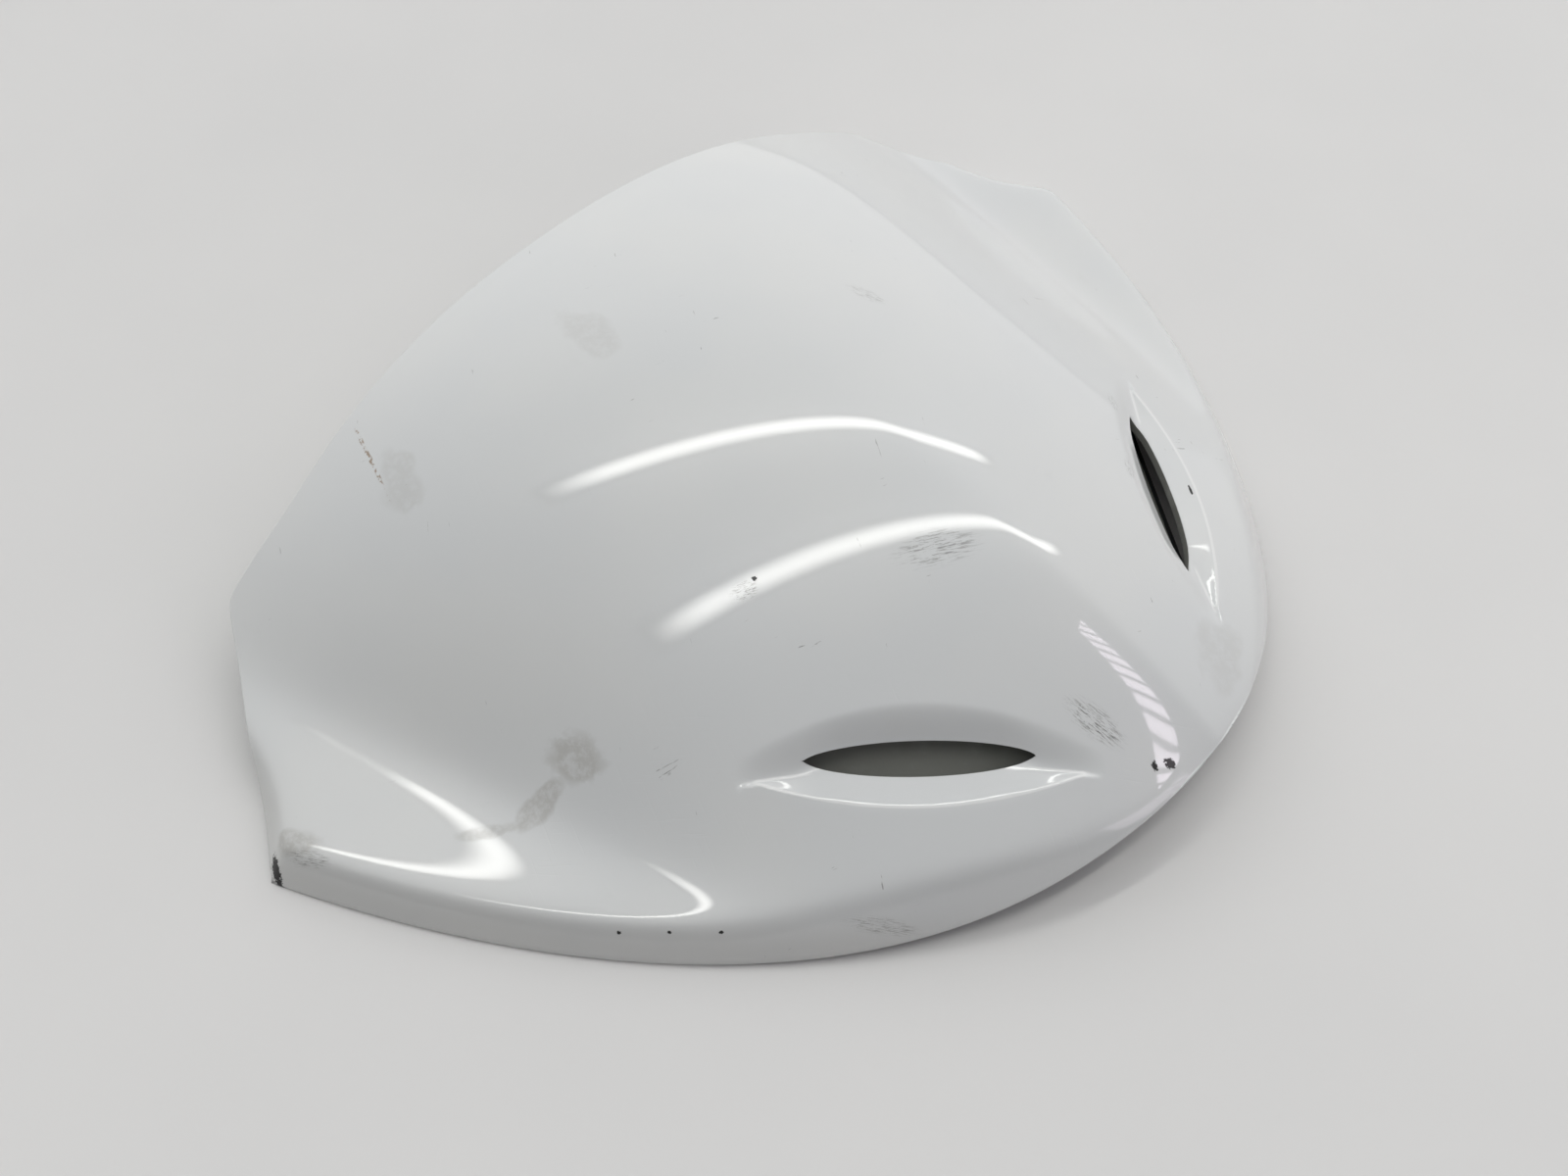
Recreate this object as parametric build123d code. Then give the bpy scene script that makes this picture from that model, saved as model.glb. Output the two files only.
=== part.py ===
from build123d import *
import os
from math import asin, cos, degrees, exp, log, radians, sin, sqrt

# Ventilated front shell of a helmet: crown, brim and two sliding vents under it.
# Millimetres. +X is the nose, +Y the left side, +Z up. The brim stands on z = 0 and
# the origin is under the middle of the shell's length and breadth.

# ---- Driving dimensions ----

# Rim, seen from above: one elliptical arc from rear corner to rear corner
rim_centre_x = -206.0
rim_length = 301.0
rim_breadth = 170.0
corner_y = 139.3
corner_x = rim_centre_x + rim_length * sqrt(1 - (corner_y / rim_breadth) ** 2)

# Rear edge, seen from above
rear_middle_x = -93.6
rear_shoulder_x = -85.0
rear_shoulder_y = 85.0
rear_notch_x = -84.5
rear_notch_y = 107.0

# Crown: an arc from rear to nose, falling away to each side by a power law
crown_height = 52.0
crown_x = -27.0
crown_radius = 235.0
foot_breadth = 114.0
foot_length = 364.0
fullness = 1.93
fullness_loss = 0.0095

# Brim: a shallow valley round the crown, then a turned-down flange
brim_height = 8.2
brim_fall = 0.012
valley_rounding = 5.0
flange_slope = 1.15
flange_rounding = 4.5
edge_height = 1.2
nose_lift = 18.0
nose_spread = 50.0
rest_trim = 0.5

# Rear skirt: the brim also turns down along its rear edge, near each corner
skirt_slope = 1.6
skirt_start = 8.0
skirt_rise = 0.018
skirt_rounding = 3.0

# Wall and the gap left for the adhesive behind everything bonded to it
wall = 2.0
bond_gap = 0.3

# Vents: a lens-shaped slot in a lens-shaped recess, one on each side of the nose
vent_x = 53.0
vent_y = 43.5
vent_turn = -42.3
slot_half_length = 22.4
slot_half_width = 3.7
recess_half_length = 37.0
recess_half_width = 10.0
recess_depth = 4.0

# Shutter behind each slot, sliding in a frame
shutter_half_length = 30.0
shutter_half_width = 7.0
shutter_thickness = 1.2
shutter_travel = 11.0
slide_gap = 0.3
lip_drop = 4.3
lip_thickness = 0.9
lip_reach = 1.5
rail_width = 3.2
base_thickness = 2.0
base_past_open = 1.5
stop_width = 1.2
window_margin = 1.2
lug_reach = 10.0
lug_half_width = 5.0

# Ember screen under the frame
screen_thickness = 0.6
screen_hole_radius = 1.1
screen_pitch = 3.0
screen_columns = 15
screen_rows = 3

# Shutter tab, through a slot in the frame that also limits its travel
tab_x = 26.3
tab_radius = 1.5
tab_spigot_radius = 1.0
tab_spigot_gap = 0.05
tab_knob_length = 8.0
tab_knob_width = 5.0
tab_knob_height = 3.5
tab_knob_gap = 0.4
tab_knob_round = 1.0
tab_slot_gap = 0.2

# Frame screws and the bosses that take them
screw_inset = 4.5
screw_radius = 1.5
screw_hole_gap = 0.2
screw_head_radius = 2.75
screw_head_height = 1.7
screw_recess_radius = 1.0
screw_recess_depth = 1.0
screw_grip = 3.0
pilot_gap = 0.05
vent_boss_radius = 3.5

# Mount bosses with threaded inserts
boss_radius = 5.5
boss_face_z = 12.0
rear_boss_x = -69.0
rear_boss_y = 78.0
nose_boss_x = 76.0
insert_radius = 3.0
insert_length = 8.0
insert_thread_radius = 1.65
insert_gap = 0.05
insert_room = 0.4

# Impact liner under the crown
liner_x = -29.0
liner_half_length = 55.0
liner_half_width = 62.0
liner_thickness = 10.0
groove_width = 8.0
groove_depth = 4.0
groove_pitch = 26.0

# How finely the curved surfaces are sampled, and how closely the splines follow
sample_step = 3.0
spline_tolerance = 0.2
sheet_margin = 4.0
tall = 160.0


# ---- Height of the outer surface ----

def smooth_max(a, b, rounding):
    """The larger of a and b, with the crossing rounded."""
    return (a + b + sqrt((a - b) ** 2 + rounding ** 2)) / 2


def smooth_min(a, b, rounding):
    """The smaller of a and b, with the crossing rounded."""
    return (a + b - sqrt((a - b) ** 2 + rounding ** 2)) / 2


def rim_inset(x, y):
    """Distance inwards from the rim, seen from above."""
    u = (x - rim_centre_x) / rim_length
    v = y / rim_breadth
    size = sqrt(u * u + v * v)
    return (1 - size) * size / sqrt((u / rim_length) ** 2 + (v / rim_breadth) ** 2)


def nose_rise(y):
    """How far the rim lifts off the table on its way round the nose."""
    return nose_lift * exp(-(y / nose_spread) ** 2)


def brim_level(x):
    """Height of the brim's valley."""
    return brim_height - brim_fall * x


def crown(x, y):
    """Height of the crown, before the brim is blended in."""
    crest = crown_height - crown_radius + sqrt(crown_radius ** 2 - (x - crown_x) ** 2)
    foot = foot_breadth * sqrt(1 - ((x - rim_centre_x) / foot_length) ** 2)
    power = fullness - fullness_loss * x
    return crest - (crest - brim_level(x)) * (abs(y) / foot) ** power


def skirt(x, y):
    """Height of the turned-down skirt along the rear edge of the brim."""
    reach_x = corner_x - rear_notch_x
    reach_y = corner_y - rear_notch_y
    reach = sqrt(reach_x ** 2 + reach_y ** 2)
    off_x = x - corner_x
    off_y = abs(y) - corner_y
    along = -(off_x * reach_x + off_y * reach_y) / reach
    inward = (off_x * reach_y - off_y * reach_x) / reach
    rise = skirt_rise * max(along - skirt_start, 0) ** 2
    return edge_height + rise + skirt_slope * inward


def recess(x, y):
    """Depth of the lens-shaped recess around each vent slot."""
    turn_x = cos(radians(vent_turn))
    turn_y = sin(radians(vent_turn))
    along = (x - vent_x) * turn_x + (abs(y) - vent_y) * turn_y
    across = (abs(y) - vent_y) * turn_x - (x - vent_x) * turn_y
    taper = 1 - (along / recess_half_length) ** 2
    if taper <= 0:
        return 0
    share = across / (recess_half_width * taper)
    if abs(share) >= 1:
        return 0
    return recess_depth * taper * (1 - share * share) ** 1.5


def skin(x, y):
    """Height of the outer surface as if it had no vent recesses."""
    top = smooth_max(crown(x, y), brim_level(x), valley_rounding)
    flange = nose_rise(y) + edge_height + flange_slope * rim_inset(x, y)
    brim = smooth_min(flange, top, flange_rounding)
    return smooth_min(skirt(x, y), brim, skirt_rounding)


def height(x, y):
    """Height of the outer surface."""
    return skin(x, y) - recess(x, y)


def gradient(surface, x, y, step=0.4):
    """Slopes of a height function along X and Y."""
    along_x = (surface(x + step, y) - surface(x - step, y)) / (2 * step)
    along_y = (surface(x, y + step) - surface(x, y - step)) / (2 * step)
    return along_x, along_y


def depth_height(x, y, depth):
    """Height of the surface that lies a given depth behind the outer one."""
    slope_x, slope_y = gradient(height, x, y)
    return height(x, y) - depth * sqrt(1 + slope_x ** 2 + slope_y ** 2)


# ---- Solids bounded by that surface ----

shell_box = (rear_middle_x, rim_centre_x + rim_length, corner_y)
liner_box = (liner_x - liner_half_length, liner_x + liner_half_length, liner_half_width)


def under(depth, box):
    """Solid block under the surface that lies a given depth behind the outer one."""
    low_x = box[0] - sheet_margin - depth / 2
    high_x = box[1] + sheet_margin + depth / 2
    half_y = box[2] + sheet_margin + depth / 2
    columns = round((high_x - low_x) / sample_step)
    rows = round(2 * half_y / sample_step)
    grid = []
    for i in range(columns + 1):
        x = low_x + (high_x - low_x) * i / columns
        line = []
        for j in range(rows + 1):
            y = 2 * half_y * j / rows - half_y
            line.append(Vector(x, y, depth_height(x, y, depth)))
        grid.append(line)
    sheet = Face.make_surface_from_array_of_points(grid, tol=spline_tolerance, min_deg=3)
    return Solid.extrude(sheet, Vector(0, 0, -tall))


def plan_prism():
    """Upright prism on the shell's outline."""
    half_turn = degrees(asin(corner_y / rim_breadth))
    front = EllipticalCenterArc(
        (rim_centre_x, 0), rim_length, rim_breadth, start_angle=-half_turn, arc_size=2 * half_turn
    )
    left = front @ 1
    right = front @ 0
    notch = (rear_notch_x, rear_notch_y)
    shoulder = (rear_shoulder_x, rear_shoulder_y)
    left_side = Line(left, notch)
    left_shoulder = Line(notch, shoulder)
    arch = ThreePointArc(shoulder, (rear_middle_x, 0), (shoulder[0], -shoulder[1]))
    right_shoulder = Line((shoulder[0], -shoulder[1]), (notch[0], -notch[1]))
    right_side = Line((notch[0], -notch[1]), right)
    edges = [front, left_side, left_shoulder, arch, right_shoulder, right_side]
    outline = Face(Wire([edge.edge() for edge in edges]))
    return Solid.extrude(outline, Vector(0, 0, tall / 2))


def rest_cutter():
    """Everything below the rim: flat at the sides, arched up at the nose."""
    flat_y = nose_spread * sqrt(log(nose_lift / rest_trim))
    steps = 16
    points = []
    for i in range(steps + 1):
        y = flat_y * (2 * i / steps - 1)
        points.append((y, nose_rise(y) - rest_trim))
    arch = Spline(points)
    wide = 2 * rim_breadth
    right = arch @ 0
    left = arch @ 1
    base = Polyline(left, (wide, left.Y), (wide, -tall), (-wide, -tall), (-wide, right.Y), right)
    profile = Face(Wire([arch.edge(), *base.edges()]))
    return extrude(Plane.YZ * profile, amount=rim_length, both=True)


def vent_plane():
    """Plane of the left vent: origin on the recess floor, X along the slot, Z outwards."""
    slope_x, slope_y = gradient(skin, vent_x, vent_y)
    outwards = Vector(-slope_x, -slope_y, 1).normalized()
    level = Vector(1, 0).rotate(Axis.Z, vent_turn)
    along = (level - outwards * level.dot(outwards)).normalized()
    return Plane((vent_x, vent_y, height(vent_x, vent_y)), x_dir=along, z_dir=outwards)


def plate(low_x, high_x, low_y, high_y, low_z, high_z):
    """Rectangular block between two corners."""
    size = (high_x - low_x, high_y - low_y, high_z - low_z)
    middle = ((low_x + high_x) / 2, (low_y + high_y) / 2, (low_z + high_z) / 2)
    return Pos(*middle) * Box(*size)


def rod(x, y, radius, low_z, high_z):
    """Upright cylinder."""
    return Pos(x, y, (low_z + high_z) / 2) * Cylinder(radius, high_z - low_z)


def slotted(x, low_y, high_y, radius, low_z, high_z):
    """Upright stadium running along Y between two end centres."""
    ends = rod(x, low_y, radius, low_z, high_z) + rod(x, high_y, radius, low_z, high_z)
    return ends + plate(x - radius, x + radius, low_y, high_y, low_z, high_z)


def both_ends(make):
    """A feature at the rear end of the vent and its mirror image at the front end."""
    return make + mirror(make, about=Plane.YZ)


# ---- Shell ----

def make_outer_shell(outer, inner, place):
    """Moulded shell with its rim trimmed flat to rest and a slot through each recess."""
    shell = plan_prism() & outer
    shell = shell - inner - rest_cutter()
    upper = ThreePointArc((-slot_half_length, 0), (0, slot_half_width), (slot_half_length, 0))
    lower = ThreePointArc((slot_half_length, 0), (0, -slot_half_width), (-slot_half_length, 0))
    lens = Face(Wire([upper.edge(), lower.edge()]))
    slot = place * extrude(lens, amount=recess_depth + wall, both=True)
    return shell - slot - mirror(slot, about=Plane.XZ)


def make_mount_boss(x, y, seat):
    """Round boss bonded under the shell, bored for a threaded insert."""
    boss = rod(x, y, boss_radius, boss_face_z, crown_height) & seat
    top = boss_face_z + insert_length + insert_room
    return boss - rod(x, y, insert_radius + insert_gap, boss_face_z, top)


def make_insert(x, y):
    """Threaded insert, flush with the face of its boss."""
    top = boss_face_z + insert_length
    body = rod(x, y, insert_radius, boss_face_z, top)
    return body - rod(x, y, insert_thread_radius, boss_face_z, top)


def make_liner(seat):
    """Foam pad that follows the crown, with grooves along its underside."""
    oval = Ellipse(liner_half_length, liner_half_width)
    blank = extrude(Pos(liner_x, 0) * oval, amount=tall / 2)
    pad = blank & seat
    pad = pad - under(wall + bond_gap + liner_thickness, liner_box)
    grooves = under(wall + bond_gap + liner_thickness - groove_depth, liner_box)
    for y in (-groove_pitch, 0, groove_pitch):
        half = groove_width / 2
        strip = plate(
            liner_x - liner_half_length, liner_x + liner_half_length, y - half, y + half, 0, tall
        )
        pad = pad - (strip & grooves)
    return pad


# ---- Vent, in the vent plane ----

shutter_top = -lip_drop - lip_thickness - slide_gap
shutter_bottom = shutter_top - shutter_thickness
base_top = shutter_bottom - slide_gap
base_bottom = base_top - base_thickness
screen_bottom = base_bottom - screen_thickness
rail_inner = shutter_half_length + slide_gap
rail_outer = rail_inner + rail_width
stop_inner = shutter_half_width + slide_gap
frame_outboard = stop_inner + stop_width
frame_inboard = -shutter_half_width - shutter_travel - base_past_open
lug_end = rail_outer + lug_reach
screw_x = lug_end - screw_inset
window_half_length = slot_half_length + window_margin
window_half_width = slot_half_width + window_margin


def tab_slot(low_z, high_z):
    """Cutter for the tab's travel, which stops the shutter at both ends."""
    radius = tab_radius + tab_slot_gap
    return slotted(tab_x, -shutter_travel, 0, radius, low_z, high_z)


def screw_holes(low_z, high_z):
    """Cutters for the two frame screws."""
    return both_ends(rod(-screw_x, 0, screw_radius + screw_hole_gap, low_z, high_z))


def make_vent_frame():
    """Frame with a window, two lipped rails, an outboard stop and a lug at each end."""
    base = plate(-rail_outer, rail_outer, frame_inboard, frame_outboard, base_bottom, base_top)
    lug = plate(-lug_end, -rail_outer, -lug_half_width, lug_half_width, base_bottom, base_top)
    rail = plate(-rail_outer, -rail_inner, frame_inboard, frame_outboard, base_top, -lip_drop)
    lip_inner = rail_inner - lip_reach
    lip_low = -lip_drop - lip_thickness
    lip = plate(-rail_outer, -lip_inner, frame_inboard, frame_outboard, lip_low, -lip_drop)
    stop = plate(-rail_inner, rail_inner, stop_inner, frame_outboard, base_top, shutter_top)
    frame = base + both_ends(lug + rail + lip) + stop
    window = SlotOverall(2 * window_half_length, 2 * window_half_width)
    opening = Pos(0, 0, base_bottom) * extrude(window, amount=base_thickness)
    return frame - opening - tab_slot(base_bottom, base_top) - screw_holes(base_bottom, base_top)


def make_ember_screen():
    """Perforated plate clamped under the frame."""
    half = frame_outboard
    screen = plate(-rail_outer, rail_outer, -half, half, screen_bottom, base_bottom)
    lug = plate(-lug_end, -rail_outer, -lug_half_width, lug_half_width, screen_bottom, base_bottom)
    screen = screen + both_ends(lug)
    with GridLocations(screen_pitch, screen_pitch, screen_columns, screen_rows) as grid:
        spots = grid.locations
    hole = Cylinder(screen_hole_radius, screen_thickness)
    level = Pos(0, 0, (screen_bottom + base_bottom) / 2)
    screen = screen - [level * spot * hole for spot in spots]
    screen = screen - tab_slot(screen_bottom, base_bottom)
    return screen - screw_holes(screen_bottom, base_bottom)


def make_vent_shutter():
    """Flat blade that covers the slot, holed for the tab's spigot."""
    half_x = shutter_half_length
    half_y = shutter_half_width
    blade = plate(-half_x, half_x, -half_y, half_y, shutter_bottom, shutter_top)
    hole = tab_spigot_radius + tab_spigot_gap
    return blade - rod(tab_x, 0, hole, shutter_bottom, shutter_top)


def make_shutter_tab():
    """Tab riveted to the blade, with its knob under the screen."""
    knob_top = screen_bottom - tab_knob_gap
    knob_bottom = knob_top - tab_knob_height
    half_x = tab_knob_width / 2
    half_y = tab_knob_length / 2
    spigot = rod(tab_x, 0, tab_spigot_radius, shutter_bottom, shutter_top)
    stem = rod(tab_x, 0, tab_radius, knob_top, shutter_bottom)
    knob = plate(tab_x - half_x, tab_x + half_x, -half_y, half_y, knob_bottom, knob_top)
    knob = fillet(knob.edges().filter_by(Axis.Z), tab_knob_round)
    return spigot + stem + knob


def make_frame_screws():
    """The two pan-head screws that clamp frame and screen to their bosses."""
    head_bottom = screen_bottom - screw_head_height
    head = rod(-screw_x, 0, screw_head_radius, head_bottom, screen_bottom)
    shank = rod(-screw_x, 0, screw_radius, screen_bottom, base_top + screw_grip)
    drive = Pos(-screw_x, 0, head_bottom) * extrude(
        RegularPolygon(screw_recess_radius, 6), amount=screw_recess_depth
    )
    return both_ends(head + shank - drive)


def make_vent_bosses(place, seat):
    """The two bosses bonded under the shell for the frame screws."""
    boss = rod(-screw_x, 0, vent_boss_radius, base_top, 0)
    pilot = rod(-screw_x, 0, screw_radius + pilot_gap, base_top, base_top + screw_grip + pilot_gap)
    bosses = (place * both_ends(boss)) & seat
    return bosses - place * both_ends(pilot)


# ---- Assembly ----

def write(name, part):
    """Write one node's STEP file."""
    export_step(part, f"parts/{name}.step")


def write_pair(name, left):
    """Write a left node and its mirror image on the right."""
    write(f"{name}_left", left)
    write(f"{name}_right", mirror(left, about=Plane.XZ))


def main():
    """Build every node and write its file."""
    os.makedirs("parts", exist_ok=True)
    place = vent_plane()
    outer = under(0, shell_box)
    inner = under(wall, shell_box)
    seat = under(wall + bond_gap, shell_box)
    write("outer_shell", make_outer_shell(outer, inner, place))
    write("impact_liner", make_liner(seat))
    write_pair("mount_boss_rear", make_mount_boss(rear_boss_x, rear_boss_y, seat))
    write("mount_boss_nose", make_mount_boss(nose_boss_x, 0, seat))
    write_pair("threaded_insert_rear", make_insert(rear_boss_x, rear_boss_y))
    write("threaded_insert_nose", make_insert(nose_boss_x, 0))
    write_pair("vent_bosses", make_vent_bosses(place, seat))
    write_pair("vent_frame", place * make_vent_frame())
    write_pair("ember_screen", place * make_ember_screen())
    write_pair("vent_shutter", place * make_vent_shutter())
    write_pair("shutter_tab", place * make_shutter_tab())
    write_pair("frame_screws", place * make_frame_screws())


main()
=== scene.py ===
"""Looks of a helmet's ventilated front shell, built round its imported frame.

The shell and the foam liner are modelled here as finished meshes. Every other piece is the
frame's own node with a better finish. Sizes are in millimetres and become metres when a
mesh is finished.
"""

import logging
import math
from dataclasses import dataclass, field
from enum import Enum
from functools import reduce
from typing import Callable, Iterable, Optional, Sequence, Union

import bmesh
import bpy
from mathutils import Matrix, Vector


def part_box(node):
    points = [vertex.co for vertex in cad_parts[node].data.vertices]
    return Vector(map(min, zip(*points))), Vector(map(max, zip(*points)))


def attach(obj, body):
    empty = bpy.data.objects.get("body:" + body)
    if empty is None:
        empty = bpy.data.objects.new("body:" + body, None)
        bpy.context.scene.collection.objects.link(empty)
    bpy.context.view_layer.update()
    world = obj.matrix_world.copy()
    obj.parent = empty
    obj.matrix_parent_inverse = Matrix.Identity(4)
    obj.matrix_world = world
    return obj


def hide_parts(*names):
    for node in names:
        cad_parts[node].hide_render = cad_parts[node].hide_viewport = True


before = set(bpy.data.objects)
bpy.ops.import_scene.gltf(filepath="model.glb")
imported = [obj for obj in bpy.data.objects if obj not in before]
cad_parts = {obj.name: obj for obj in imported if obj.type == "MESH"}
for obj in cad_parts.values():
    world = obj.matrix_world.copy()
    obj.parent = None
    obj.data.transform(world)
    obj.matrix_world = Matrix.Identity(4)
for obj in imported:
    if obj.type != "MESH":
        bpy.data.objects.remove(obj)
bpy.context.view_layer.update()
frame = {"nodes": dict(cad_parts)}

MM = 0.001
log = logging.getLogger("helmet_shell")

Colour = tuple[float, float, float]
Number = Union[int, float]


class Side(Enum):
    """Which half of the helmet a piece lies on, as the sign of its Y."""

    LEFT = 1
    RIGHT = -1


# ---------------------------------------------------------------------------
# Shader maths
# ---------------------------------------------------------------------------


class Field:
    """One output socket of a node tree, with arithmetic on its values."""

    def __init__(self, tree: "Tree", socket: bpy.types.NodeSocket) -> None:
        """Wraps a socket.

        Args:
            tree: The tree that the socket's node is in.
            socket: The output socket.
        """
        self.tree = tree
        self.socket = socket

    def math(self, operation: str, *others: "Value", clamp: bool = False) -> "Field":
        """Adds one Math node fed by this value.

        Args:
            operation: The Math node's operation.
            others: The remaining inputs.
            clamp: Whether the result is held between 0 and 1.

        Returns:
            The node's result.
        """
        values = dict(enumerate((self, *others)))
        return self.tree.node("ShaderNodeMath", {"operation": operation, "use_clamp": clamp}, values)

    def __add__(self, other: "Value") -> "Field":
        """Sum."""
        return self.math("ADD", other)

    __radd__ = __add__

    def __sub__(self, other: "Value") -> "Field":
        """Difference."""
        return self.math("SUBTRACT", other)

    def __rsub__(self, other: "Value") -> "Field":
        """Difference from a number."""
        return self.tree.node("ShaderNodeMath", {"operation": "SUBTRACT"}, {0: other, 1: self})

    def __mul__(self, other: "Value") -> "Field":
        """Product."""
        return self.math("MULTIPLY", other)

    __rmul__ = __mul__

    def __truediv__(self, other: "Value") -> "Field":
        """Quotient."""
        return self.math("DIVIDE", other)

    def __pow__(self, other: "Value") -> "Field":
        """Power."""
        return self.math("POWER", other)

    def clamp(self) -> "Field":
        """This value held between 0 and 1."""
        return self.math("ADD", 0.0, clamp=True)

    def most(self, other: "Value") -> "Field":
        """The larger of two values."""
        return self.math("MAXIMUM", other)

    def ramp(self, low: Number, high: Number, start: Number = 0.0, end: Number = 1.0) -> "Field":
        """Smooth step between two values.

        Args:
            low: Where the step starts.
            high: Where it ends.
            start: The result at and before low.
            end: The result at and past high.

        Returns:
            The stepped value.
        """
        settings = {"interpolation_type": "SMOOTHSTEP", "clamp": True}
        values = {"Value": self, "From Min": low, "From Max": high, "To Min": start, "To Max": end}
        return self.tree.node("ShaderNodeMapRange", settings, values)


Value = Union[Field, Number]


def highest(fields: Iterable[Field]) -> Field:
    """The largest of several values, point by point."""
    return reduce(Field.most, fields)


class Tree:
    """Builds the nodes of one material or world."""

    def __init__(self, owner: Union[bpy.types.Material, bpy.types.World]) -> None:
        """Empties the owner's node tree.

        Args:
            owner: The material or world whose nodes are built.
        """
        owner.use_nodes = True
        self.nodes = owner.node_tree.nodes
        self.links = owner.node_tree.links
        self.nodes.clear()

    def _add(
        self, kind: str, settings: Optional[dict] = None, values: Optional[dict] = None
    ) -> bpy.types.Node:
        """Adds one node.

        Args:
            kind: The node's type.
            settings: Its properties.
            values: Socket name or index to a number, a colour or a Field.

        Returns:
            The node.
        """
        made = self.nodes.new(kind)
        for name, setting in (settings or {}).items():
            setattr(made, name, setting)
        for name, value in (values or {}).items():
            socket = made.inputs[name]
            if isinstance(value, Field):
                self.links.new(value.socket, socket)
            else:
                socket.default_value = value
        return made

    def node(
        self,
        kind: str,
        settings: Optional[dict] = None,
        values: Optional[dict] = None,
        output: Union[int, str] = 0,
    ) -> Field:
        """Adds one node and gives one of its outputs.

        Args:
            kind: The node's type.
            settings: Its properties.
            values: Socket name or index to a number, a colour or a Field.
            output: Which output is wanted.

        Returns:
            That output.
        """
        return Field(self, self._add(kind, settings, values).outputs[output])

    def close(self, kind: str, shader: Field) -> None:
        """Adds the output node of that type, fed by a shader."""
        self._add(kind, values={"Surface": shader})

    def place(self) -> Field:
        """Object coordinates, in metres."""
        return self.node("ShaderNodeTexCoord", output="Object")

    def split(self, vector: Field) -> tuple[Field, Field, Field]:
        """The three parts of a vector."""
        made = self.node("ShaderNodeSeparateXYZ", values={0: vector})
        outputs = made.socket.node.outputs
        return Field(self, outputs[0]), Field(self, outputs[1]), Field(self, outputs[2])

    def noise(self, vector: Field, scale: float, detail: float = 2.0, rough: float = 0.5) -> Field:
        """Noise around 0.5 over a vector, at a scale per metre."""
        values = {"Vector": vector, "Scale": scale, "Detail": detail, "Roughness": rough}
        return self.node("ShaderNodeTexNoise", values=values, output=0)

    def mapped(
        self,
        vector: Field,
        at: Sequence[float] = (0.0, 0.0, 0.0),
        turn: float = 0.0,
        size: Sequence[float] = (1.0, 1.0, 1.0),
    ) -> Field:
        """A vector in the frame of a box.

        Args:
            vector: The vector to map.
            at: The box's centre.
            turn: The box's turn about Z, in degrees.
            size: The box's half sizes, which become 1.

        Returns:
            The vector in that frame.
        """
        values = {
            "Vector": vector,
            "Location": tuple(at),
            "Rotation": (0.0, 0.0, math.radians(turn)),
            "Scale": tuple(size),
        }
        return self.node("ShaderNodeMapping", {"vector_type": "TEXTURE"}, values)

    def length(self, vector: Field) -> Field:
        """Length of a vector."""
        made = self.node("ShaderNodeVectorMath", {"operation": "LENGTH"}, {0: vector}, "Value")
        return made

    def mix(self, share: Value, first: Union[Field, Colour], second: Union[Field, Colour]) -> Field:
        """Colour between two colours.

        Args:
            share: 0 for the first, 1 for the second.
            first: First colour.
            second: Second colour.

        Returns:
            The mixed colour.
        """
        ready = [c if isinstance(c, Field) else (*c, 1.0) for c in (first, second)]
        settings = {"data_type": "RGBA", "blend_type": "MIX"}
        return self.node("ShaderNodeMix", settings, {0: share, 6: ready[0], 7: ready[1]}, 2)

    def bump(self, relief: Field, height: float, strength: float = 1.0) -> Field:
        """Surface normal from a relief whose full height is given in metres."""
        values = {"Height": relief, "Distance": height, "Strength": strength}
        return self.node("ShaderNodeBump", values=values)

    def finish(self, **inputs: Union[Value, Colour]) -> None:
        """Adds the surface shader and the output.

        Args:
            inputs: Shader socket names, with spaces as underscores, to values.
        """
        values = {}
        for name, value in inputs.items():
            is_colour = isinstance(value, tuple) and len(value) == 3
            values[name.replace("_", " ")] = (*value, 1.0) if is_colour else value
        shader = self.node("ShaderNodeBsdfPrincipled", values=values)
        self.close("ShaderNodeOutputMaterial", shader)


# ---------------------------------------------------------------------------
# Wear on the paint
# ---------------------------------------------------------------------------


class Wear(Enum):
    """Kinds of mark on the paint."""

    SMEAR = "soft dull grease"
    SCUFF = "dark broken streaks"
    CHIP = "paint gone down to the core"
    CRACK = "a dotted line of dirt"
    RUB = "gloss worn off, with the colour left"


@dataclass(frozen=True)
class Mark:
    """One mark on the paint, placed by shares of the shell's half length and half breadth.

    The share along is -1 at the rear edge and 1 at the nose. The share out is -1 at the right
    edge and 1 at the left. Lengths are in millimetres.
    """

    kind: Wear
    along: float
    out: float
    half_length: float
    half_width: float
    turn: float = 0.0
    strength: float = 1.0

    def middle(self) -> tuple[float, float, float]:
        """The mark's place in metres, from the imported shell's box."""
        low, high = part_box("outer_shell")
        shares = (self.along, self.out)
        x, y = ((a + b) / 2 + share * (b - a) / 2 for a, b, share in zip(low, high, shares))
        return x, y, 0.0


# A thumb's smear on the right flank, dragged outwards into a tail
THUMB_SMEAR = (
    Mark(Wear.SMEAR, 0.0, -0.62, 6.5, 5.0, 20, 0.85),
    Mark(Wear.SMEAR, 0.0, -0.68, 8.0, 3.0, 85, 0.80),
    Mark(Wear.SMEAR, -0.05, -0.76, 7.0, 1.8, 50, 0.60),
)

# A crack from the rear edge, with rust-coloured dirt in it and a smudge beside it
REAR_CRACK = (
    Mark(Wear.CRACK, -0.80, -0.50, 13.0, 0.55, -20),
    Mark(Wear.SMEAR, -0.70, -0.50, 9.0, 5.0, -25, 0.35),
)

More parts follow.
